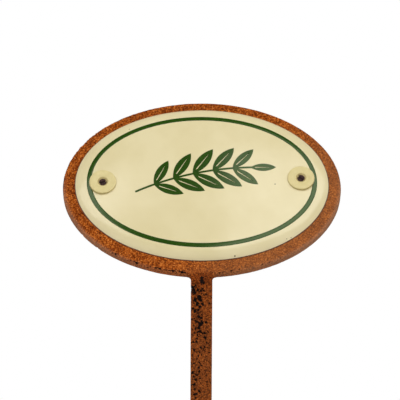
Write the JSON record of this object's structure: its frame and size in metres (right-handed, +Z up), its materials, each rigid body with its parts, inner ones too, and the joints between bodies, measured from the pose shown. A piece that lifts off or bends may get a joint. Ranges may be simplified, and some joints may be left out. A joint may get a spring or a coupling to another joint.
{
  "type": "plant label stake",
  "caption": "Oval enamelled sign on a rusty steel plate, leaning back on a flat pointed stake that is pushed into the soil beside a plant.",
  "frame": {"origin": "on the flat bar's axis at the soil line, about 100 mm above the bar's point", "axes": "+Z up along the bar, +X along the sign's long axis to the right as seen from the front, -Y towards the reader; the sign leans back towards +Y"},
  "size_m": [0.1094, 0.0611, 0.3107],
  "materials": {
    "rusty_steel": "weathered to an even orange-brown rust with dark pits, rough and dull",
    "blank_steel": "bare pressed steel, covered by the enamel",
    "dark_enamel": "glossy dark ground enamel",
    "ivory_enamel": "glossy ivory vitreous enamel with a few specks",
    "green_enamel": "glossy dark green vitreous enamel",
    "ivory_plastic": "smooth satin ivory plastic",
    "browned_screw": "small screw, darkened and slightly rusted",
    "plated_steel": "dull zinc plating with rust in its corners"
  },
  "bodies": {
    "root": {"backing_plate": "rusty_steel", "stake": "rusty_steel", "weld_seam": "rusty_steel", "sign_blank": "blank_steel", "ground_coat": "dark_enamel", "cover_coat": "ivory_enamel", "border_ring": "green_enamel", "leaf_sprig": "green_enamel", "collar_washer_left": "ivory_plastic", "collar_washer_right": "ivory_plastic", "screw_left": "browned_screw", "screw_right": "browned_screw", "lock_washer_left": "plated_steel", "lock_washer_right": "plated_steel", "nut_left": "plated_steel", "nut_right": "plated_steel"}
  },
  "joints": []
}
